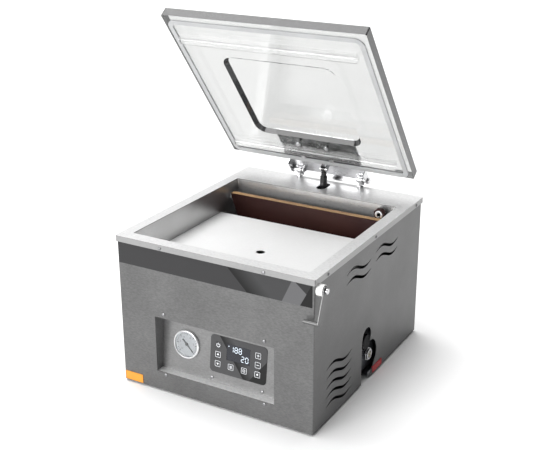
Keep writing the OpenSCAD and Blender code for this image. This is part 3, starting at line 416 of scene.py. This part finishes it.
casing_steel = brushed_steel("casing_steel", 0.162, 0.42, FINE_ACROSS, metal=0.5, contrast=0.34)
# the pan's up-facing ledge gets a painted highlight through its lighter upward tone
pan_steel = brushed_steel("pan_steel", 0.235, 0.36, FINE_ACROSS, metal=0.5, contrast=0.28, painted_top_light=0.95)
inner_steel = brushed_steel("inner_steel", 0.60, 0.32, FINE_ACROSS, metal=0.85)
# the rim's top gets a painted highlight through its lighter upward tone
rim_steel = brushed_steel("rim_steel", 0.34, 0.38, FINE_ACROSS, metal=0.5, painted_top_light=0.92)
filler_steel = brushed_steel("filler_steel", 0.96, 0.45, FINE_ACROSS, metal=0.1, contrast=0.05)
latch_steel = brushed_steel("latch_steel", 0.135, 0.34, (900, 900, 60), metal=0.8)
bright_steel = plain_metal("bright_steel", (0.66, 0.66, 0.67), 0.22)
bezel_steel = plain_metal("bezel_steel", (0.86, 0.86, 0.87), 0.28, metal=0.6)
zinc_steel = plain_metal("zinc_steel", (0.40, 0.41, 0.43), 0.45)
cast_metal = plastic("cast_metal", (0.075, 0.08, 0.088), 0.5, grain=420, strength=0.35)
LID_NORMAL = (0, math.sin(LID_ANGLE), math.cos(LID_ANGLE))
# the lid's side faces get a painted dark edge shade in place of reflections
clear_acrylic = clear_solid("clear_acrylic", (0.60, 0.605, 0.60), 0.0, (0.0022, 0.0022, 0.0024), LID_NORMAL)
clear_glass = clear_solid("clear_glass", (0.98, 0.99, 0.99), 0.0)
silicone = plastic("white_silicone", (0.40, 0.405, 0.41), 0.5, grain=260)
clear_silicone = clear_solid("clear_silicone", (0.90, 0.90, 0.90), 0.05)
black_rubber = plastic("black_rubber", (0.018, 0.018, 0.019), 0.7, grain=500, strength=0.3)
black_plastic = plastic("black_plastic", (0.016, 0.016, 0.017), 0.42, grain=700, strength=0.2)
cap_plastic = plastic("cap_plastic", (0.004, 0.004, 0.005), 0.6, grain=500, strength=0.2, gloss=0.15)
black_paint = plastic("black_paint", (0.010, 0.010, 0.011), 0.18, grain=200, coat=0.6)
white_plastic = plastic("white_plastic", (0.80, 0.80, 0.79), 0.3)
laminate = laminate_board("laminate")
socket_grey = plain_metal("socket_grey", (0.30, 0.30, 0.31), 0.4)
tape = coated_cloth("tape")
band_film = facet_film("band_film", (0.028, 0.0275, 0.029), 0.322, (
    (0.063, -1.0, 0.001, 0.002), (0.070, -1.0, 0.054, 0.040), (0.183, 0.46, 0.001, 0.110),
    (0.2307, -1.215, 0.001, 0.020), (0.2268, 0.518, 0.001, 0.002)))
overlay_film = facet_film("overlay_film", (0.060, 0.060, 0.062), 0.115, (
    (0.029, -0.73, 0.001, 0.004), (0.034, -0.73, 0.030, 0.055), (0.110, 0.8, 0.001, 0.004)))
key_film = plastic("key_film", (0.036, 0.036, 0.038), 0.40, grain=800, strength=0.1)
display_film = plastic("display_film", (0.010, 0.012, 0.019), 0.25)
circuit_board = plastic("circuit_board", (0.012, 0.10, 0.04), 0.4)
dial_face = plastic("dial_face", (0.36, 0.37, 0.39), 0.5)
screw_steel = plain_metal("screw_steel", (0.30, 0.30, 0.31), 0.34)
# white printed marks emit light: a painted glow, though the print is no lamp
white_print_painted_glow = glowing("white_print_painted_glow", (0.80, 0.82, 0.85), 0.25)
segment_light = glowing("segment_light", (0.80, 0.90, 1.0), 0.42)
mark_black = plastic("mark_black", (0.02, 0.02, 0.022), 0.5)
orange_film = plastic("orange_film", (0.72, 0.30, 0.025), 0.45)
red_film = plastic("red_film", (0.50, 0.035, 0.040), 0.45)
oil = plastic("sight_oil", (0.16, 0.13, 0.03), 0.12, coat=1.0)

# each node's material and the rounding of its edges in mm
FINISH = {
    "body_shell": (casing_steel, 0.35), "back_panel": (casing_steel, 0.3), "base_plate": (zinc_steel, 0.3),
    "feet": (black_rubber, 1.0), "rim_plate": (rim_steel, 0.7), "casing_screws": (screw_steel, 0.3),
    "front_band": (band_film, 0.1), "chamber_tub": (inner_steel, 0.4), "filler_plate": (filler_steel, 1.0),
    "suction_fitting": (bright_steel, 0.4), "seal_bar": (laminate, 0.5), "sealing_tape": (tape, 0.15),
    "heating_wires": (bright_steel, 0.1), "wire_clamps": (bright_steel, 0.5),
    "lift_cylinders": (zinc_steel, 1.0), "lift_pistons": (bright_steel, 0.4),
    "gas_nozzle": (bright_steel, 0.4), "nozzle_block": (laminate, 0.6), "lid_slab": (clear_acrylic, 2.0),
    "lid_gasket": (silicone, 0.8), "counter_bars": (clear_silicone, 0.8),
    "counter_bar_holders": (clear_silicone, 0.4), "lid_bracket": (bright_steel, 0.5),
    "bracket_bolts": (bright_steel, 0.5), "hinge_posts": (bright_steel, 0.6),
    "hinge_bolts": (bright_steel, 0.5),
    "strut_tube": (black_paint, 0.6), "strut_rod": (bright_steel, 0.3), "strut_lower_stud": (zinc_steel, 0.4),
    "lid_sensor": (black_plastic, 0.6), "latch_spacer": (white_plastic, 0.8), "latch_arm": (latch_steel, 0.7),
    "latch_screw": (bright_steel, 0.8), "control_pan": (pan_steel, 0.4), "gauge_case": (bezel_steel, 0.6),
    "gauge_dial": (dial_face, 0.0), "gauge_needle": (mark_black, 0.1), "gauge_glass": (clear_glass, 0.1),
    "control_overlay": (overlay_film, 0.3), "display_window": (display_film, 0.3),
    "control_board": (circuit_board, 0.2), "pump_housing": (cast_metal, 2.0), "pump_motor": (cast_metal, 0.6),
    "drive_shaft": (bright_steel, 0.5), "motor_fan": (black_plastic, 0.4), "fan_cowl": (black_paint, 0.8),
    "oil_filler_cap": (cap_plastic, 0.8), "oil_sight_glass": (bright_steel, 0.7),
    "vacuum_hose": (black_rubber, 0.0), "valve_block": (cast_metal, 1.0), "transformer": (zinc_steel, 1.0),
    "power_inlet": (black_plastic, 0.5),
}
KEYS = {
    "key_power": "power", "key_left_middle": "up", "key_left_low": "down", "key_low_second": "bars",
    "key_low_third": "square", "key_right_low": "dot", "key_right_middle": "minus", "key_right_top": "plus",
}


def dress_nodes():
    """Every CAD node is shown as a copy with rounded edges and its own finish."""
    for node, (material, edge) in FINISH.items():
        rounded_copy(node, edge * MM, material)
    for key in KEYS:
        rounded_copy(key, 0.35 * MM, key_film)


# ---------------------------------------------------------------- the tilted panel's own details

def panel_turn():
    """Turns local X, Y, Z to across, up the panel and out of its face."""
    return Matrix.Rotation(math.pi / 2 - PANEL_TILT, 3, "X")


def panel_point(x, up, out):
    """A point measured from the panel's lower edge, in metres."""
    return panel_turn() @ Vector((x, up, out)) + panel_edge


def find_panel_edge():
    """The panel's lower edge on the midplane, found from the key plate's lowest corner."""
    low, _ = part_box("control_overlay")
    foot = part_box("body_shell")[0].z + PANEL_FOOT
    back = low.y + OVERLAY_T * math.cos(PANEL_TILT)
    return Vector((0, back - (low.z - foot) * math.tan(PANEL_TILT), foot))


panel_edge = find_panel_edge()


def segment_digit(digit, width, height):
    """The lit bars of one seven-segment digit in the XY plane, as (centre x, centre y, length, upright)."""
    bars = {"a": (0, 1, False), "b": (0.5, 0.5, True), "c": (0.5, -0.5, True), "d": (0, -1, False),
            "e": (-0.5, -0.5, True), "f": (-0.5, 0.5, True), "g": (0, 0, False)}
    lit = {"0": "abcdef", "1": "bc", "2": "abged", "8": "abcdefg"}[digit]
    out = []
    for name in lit:
        x, y, upright = bars[name]
        out.append((x * width, y * height / 2, height / 2 if upright else width, upright))
    return out


def flat_bar(length, thickness, depth, upright, place, turn):
    """A thin bar with pointed ends, as on a segment display."""
    deselect_all()
    bpy.ops.mesh.primitive_cylinder_add(vertices=6, radius=0.5, depth=depth)
    piece = bpy.context.object
    reach = length / 2 - thickness * 0.35
    for vertex in piece.data.vertices:
        across = math.copysign(thickness / 2, vertex.co.x) if abs(vertex.co.x) > 0.2 else 0
        end = reach if abs(vertex.co.y) >= 0.4 else reach - thickness / 2
        along = math.copysign(end, vertex.co.y)
        vertex.co.x, vertex.co.y = across, along
    if not upright:
        piece.data.transform(Matrix.Rotation(math.pi / 2, 4, "Z"))
    piece.data.transform(Matrix.Translation(place) @ turn.to_4x4())
    return piece


def display_rows():
    """Two rows of plain numbers on the display."""
    low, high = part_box("display_window")
    centre_x = (low.x + high.x) / 2
    size = 12.5 * MM
    pitch = 10.6 * MM
    rows = (("188", 8.6 * MM, -22 * MM), ("20", -8.6 * MM, 6 * MM))
    turn = panel_turn()
    bars = []
    for text, row_up, first in rows:
        for i, digit in enumerate(text):
            x = centre_x + first + (i + 0.5) * pitch
            for dx, dy, length, upright in segment_digit(digit, size * 0.52, size):
                place = panel_point(x + dx, WINDOW_UP + row_up + dy, WINDOW_FACE)
                bars.append(flat_bar(length, size * 0.105, 0.1 * MM, upright, place, turn))
    finish_piece(join(bars), "display_digits", segment_light, "root")


def ring_outline(half, corner, line, depth, place, turn):
    """A thin rounded square outline, lying on the panel."""
    deselect_all()
    bpy.ops.mesh.primitive_plane_add(size=2 * half)
    piece = bpy.context.object
    bpy.ops.object.mode_set(mode="EDIT")
    bpy.ops.mesh.select_all(action="SELECT")
    bpy.ops.mesh.bevel(offset=corner, segments=5, affect="VERTICES")
    bpy.ops.mesh.select_all(action="SELECT")
    bpy.ops.mesh.inset(thickness=line, depth=0)
    bpy.ops.mesh.delete(type="FACE")
    bpy.ops.object.mode_set(mode="OBJECT")
    add_modifier(piece, "SOLIDIFY", thickness=depth, offset=1)
    piece.data.transform(Matrix.Translation(place) @ turn.to_4x4())
    return piece


def key_marks():
    """Each key's printed outline and a plain symbol."""
    turn = panel_turn()
    for key, mark in KEYS.items():
        low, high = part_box(key)
        middle_x = (low.x + high.x) / 2
        cap_up = ((low.z + high.z) / 2 - panel_edge.z) / math.cos(PANEL_TILT)
        face = panel_point(middle_x, cap_up + 0.1 * MM, KEY_FACE)
        parts = []

        def bar(dx, dy, length, thick, upright=False):
            place = face + turn @ Vector((dx * MM, dy * MM, 0.04 * MM))
            size = (thick, length, 0.08) if upright else (length, thick, 0.08)
            parts.append(block(tuple(v * MM for v in size), place, turn))

        if mark != "power":
            parts.append(ring_outline(6.9 * MM, 2.0 * MM, 0.8 * MM, MARK_T, face, turn))
        if mark == "plus":
            bar(0, 0, 6, 1.2)
            bar(0, 0, 6, 1.2, True)
        elif mark == "minus":
            bar(0, 0, 6, 1.2)
        elif mark == "bars":
            for dy in (-2.4, 0, 2.4):
                bar(0, dy, 6, 1.1)
        elif mark == "square":
            parts.append(ring_outline(3.0 * MM, 0.5 * MM, 1.0 * MM, MARK_T, face, turn))
        elif mark == "dot":
            place = face + turn @ Vector((0, 0, 0.04 * MM))
            parts.append(disc(2.2 * MM, MARK_T, place, turn, 24))
        elif mark in ("up", "down"):
            place = face + turn @ Vector((0, 0, 0.04 * MM))
            spin = turn @ Matrix.Rotation(0 if mark == "up" else math.pi, 3, "Z")
            parts.append(disc(3.4 * MM, MARK_T, place, spin, 3))
        else:
            parts.append(power_arc(face, turn))
            bar(0, 3.0, 5.0, 1.2, True)
        # the key marks take the white print with its painted glow
        finish_piece(join(parts), key + ".mark", white_print_painted_glow, frame["nodes"][key]["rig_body"])


def power_arc(face, turn):
    """The open ring of the power symbol, spun from a small upright rectangle."""
    deselect_all()
    bpy.ops.mesh.primitive_plane_add(size=1)
    piece = bpy.context.object
    for vertex in piece.data.vertices:
        vertex.co = Vector((vertex.co.x * 1.2 * MM + 4.2 * MM, 0, (vertex.co.y + 0.5) * MARK_T))
    piece.data.transform(Matrix.Rotation(math.radians(55), 4, "Z"))
    activate(piece)
    bpy.ops.object.mode_set(mode="EDIT")
    bpy.ops.mesh.select_all(action="SELECT")
    bpy.ops.mesh.spin(steps=28, angle=math.radians(290), center=(0, 0, 0), axis=(0, 0, 1))
    bpy.ops.mesh.select_all(action="SELECT")
    bpy.ops.mesh.normals_make_consistent(inside=False)
    bpy.ops.object.mode_set(mode="OBJECT")
    piece.data.transform(Matrix.Translation(face) @ turn.to_4x4())
    return piece


def gauge_scale():
    """Ticks and numbers round the gauge's dial."""
    low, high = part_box("gauge_dial")
    centre_x = (low.x + high.x) / 2
    turn = panel_turn()
    radius = (high.x - low.x) / 2
    up = ((low.z + high.z) / 2 - panel_edge.z) / math.cos(PANEL_TILT)
    face = DIAL_FACE + 0.06 * MM
    parts = []
    for i in range(31):
        angle = math.radians(-45 + 270 * i / 30)
        major = i % 5 == 0
        length = 5.5 * MM if major else 3.4 * MM
        reach = radius * 0.90 - length / 2
        place = panel_point(centre_x + math.cos(angle) * reach, up + math.sin(angle) * reach, face)
        spin = turn @ Matrix.Rotation(angle, 3, "Z")
        parts.append(block((length, (1.5 if major else 0.8) * MM, MARK_T), place, spin))
    for i in range(6):
        angle = math.radians(-45 + 270 * i / 5)
        reach = radius * 0.60
        bpy.ops.object.text_add()
        label = bpy.context.object
        label.data.body = str(2 * i)
        label.data.size = 6.5 * MM
        label.data.align_x = "CENTER"
        label.data.align_y = "CENTER"
        activate(label)
        bpy.ops.object.convert(target="MESH")
        label = bpy.context.object
        place = panel_point(centre_x + math.cos(angle) * reach, up + math.sin(angle) * reach, face)
        label.data.transform(Matrix.Translation(place) @ turn.to_4x4())
        parts.append(label)
    finish_piece(join(parts), "gauge_scale", mark_black, "root")


def panel_light():
    """The small white lamp at the display's corner."""
    low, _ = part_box("display_window")
    place = panel_point(low.x + 5 * MM, WINDOW_UP + 14 * MM, WINDOW_FACE)
    lamp = disc(1.2 * MM, 0.3 * MM, place, panel_turn(), 24)
    round_edges(lamp, 0.1 * MM)
    finish_piece(lamp, "panel_lamp", segment_light, "root")


# ---------------------------------------------------------------- labels, oil, screws

def label(name, size, place, turn, material):
    """A thin rounded label, glued flat on a wall."""
    piece = block((size[0], size[1], 0.15 * MM), Vector((0, 0, 0)))
    activate(piece)
    bpy.ops.object.mode_set(mode="EDIT")
    bpy.ops.mesh.select_all(action="DESELECT")
    bpy.ops.object.mode_set(mode="OBJECT")
    for edge in piece.data.edges:
        a, b = (piece.data.vertices[v].co for v in edge.vertices)
        edge.select = abs(a.z - b.z) > 0.1 * MM
    bpy.ops.object.mode_set(mode="EDIT")
    bpy.ops.mesh.bevel(offset=1.2 * MM, segments=4)
    bpy.ops.object.mode_set(mode="OBJECT")
    piece.data.transform(Matrix.Translation(place) @ turn.to_4x4())
    finish_piece(piece, name, material, "root")


def labels():
    low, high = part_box("body_shell")
    front = Matrix.Rotation(math.pi / 2, 3, "X")
    side = Matrix.Rotation(math.pi / 2, 3, "Z") @ Matrix.Rotation(math.pi / 2, 3, "X")
    proud = 0.08 * MM
    corner = Vector((low.x + 27.5 * MM, low.y - proud, low.z + 12.5 * MM))
    label("front_label", (49 * MM, 21 * MM), corner, front, orange_film)
    below_pump = Vector((high.x + proud, 44 * MM, low.z + 11 * MM))
    label("side_label", (52 * MM, 16 * MM), below_pump, side, red_film)


def sight_window():
    """The oil seen through the sight glass."""
    low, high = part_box("oil_sight_glass")
    turn = Matrix.Rotation(math.pi / 2, 3, "Y")
    place = Vector((high.x - 2.2 * MM, (low.y + high.y) / 2, (low.z + high.z) / 2))
    window = disc(8.4 * MM, 1.4 * MM, place, turn, 40)
    round_edges(window, 0.5 * MM)
    smooth(window)
    finish_piece(window, "sight_window", oil, "root")


def screw_recesses():
    """A dark hexagon socket in each dome screw of the casing."""
    mesh = frame["nodes"]["casing_screws"].data
    work = bmesh.new()
    work.from_mesh(mesh)
    bmesh.ops.remove_doubles(work, verts=work.verts, dist=1e-6)
    islands, seen = [], set()
    for start in work.verts:
        if start in seen:
            continue
        stack, island = [start], []
        seen.add(start)
        while stack:
            vertex = stack.pop()
            island.append(vertex.co.copy())
            for edge in vertex.link_edges:
                other = edge.other_vert(vertex)
                if other not in seen:
                    seen.add(other)
                    stack.append(other)
        islands.append(island)
    work.free()
    sockets = []
    for island in islands:
        low = Vector((min(p.x for p in island), min(p.y for p in island), min(p.z for p in island)))
        high = Vector((max(p.x for p in island), max(p.y for p in island), max(p.z for p in island)))
        centre = (low + high) / 2
        size = high - low
        if size.x > size.y:
            sign = 1 if centre.x > 0 else -1
            out = Vector((sign, 0, 0))
            tip = Vector((high.x if sign > 0 else low.x, centre.y, centre.z))
        else:
            sign = 1 if centre.y > 0 else -1
            out = Vector((0, sign, 0))
            tip = Vector((centre.x, high.y if sign > 0 else low.y, centre.z))
            if abs(size.z - SCREW_HEAD_D) > 0.4 * MM:       # the dome is tilted
                out = panel_turn() @ Vector((0, 0, 1))
                tip = Vector((centre.x, 0, 0)) + Vector((0, low.y + 0.15 * MM, centre.z + 0.27 * MM))
        turn = out.to_track_quat("Z", "Y").to_matrix()
        sockets.append(disc(1.0 * MM, 0.5 * MM, tip - out * 0.1 * MM, turn, 6))
    finish_piece(join(sockets), "screw_sockets", socket_grey, "root")


# ---------------------------------------------------------------- floor, light and camera

def studio():
    deselect_all()
    bpy.ops.mesh.primitive_plane_add(size=40, location=(0, 0, cad_bounds[0][2]))
    floor = bpy.context.object
    floor.name = "studio_floor"
    s = Shader("studio_floor")
    s.set(Roughness=0.9, Specular_IOR_Level=0.0)
    s.base.inputs["Base Color"].default_value = (0.93, 0.93, 0.93, 1)
    floor.data.materials.append(s.material)

    world = bpy.data.worlds.new("studio")
    bpy.context.scene.world = world
    world.use_nodes = True
    tree = world.node_tree
    direction = tree.nodes.new("ShaderNodeTexCoord")
    split = tree.nodes.new("ShaderNodeSeparateXYZ")
    ramp = tree.nodes.new("ShaderNodeValToRGB")
    tree.links.new(direction.outputs["Generated"], split.inputs[0])
    tree.links.new(split.outputs[0], ramp.inputs["Fac"])
    ramp.color_ramp.elements[0].position = 0.0
    ramp.color_ramp.elements[0].color = (1, 1, 1, 1)
    ramp.color_ramp.elements[1].position = 0.7
    ramp.color_ramp.elements[1].color = (0.05, 0.05, 0.05, 1)
    tree.links.new(ramp.outputs["Color"], tree.nodes["Background"].inputs["Color"])
    tree.nodes["Background"].inputs["Strength"].default_value = 0.5

    lamp("overhead", (-0.25, 0.10, 1.0), 3.0, 50)
    lamp("front_fill", (-0.30, -1.0, 0.28), 2.6, 40)

    camera = bpy.data.objects.new("camera", bpy.data.cameras.new("camera"))
    bpy.context.scene.collection.objects.link(camera)
    camera.location = (1.0731, -1.8987, 1.1733)
    camera.rotation_euler = (math.radians(68.99), 0, math.radians(29.44))
    camera.data.lens = 64.79
    camera.data.sensor_width = 36
    bpy.context.scene.camera = camera
    bpy.context.scene.view_settings.view_transform = "Standard"


def lamp(name, direction, strength, angle):
    """A soft distant light that shines from this direction."""
    light = bpy.data.lights.new(name, "SUN")
    light.energy = strength
    light.angle = math.radians(angle)
    holder = bpy.data.objects.new(name, light)
    bpy.context.scene.collection.objects.link(holder)
    holder.rotation_euler = Vector(direction).to_track_quat("Z", "Y").to_euler()


dress_nodes()
display_rows()
key_marks()
gauge_scale()
panel_light()
labels()
sight_window()
screw_recesses()
studio()
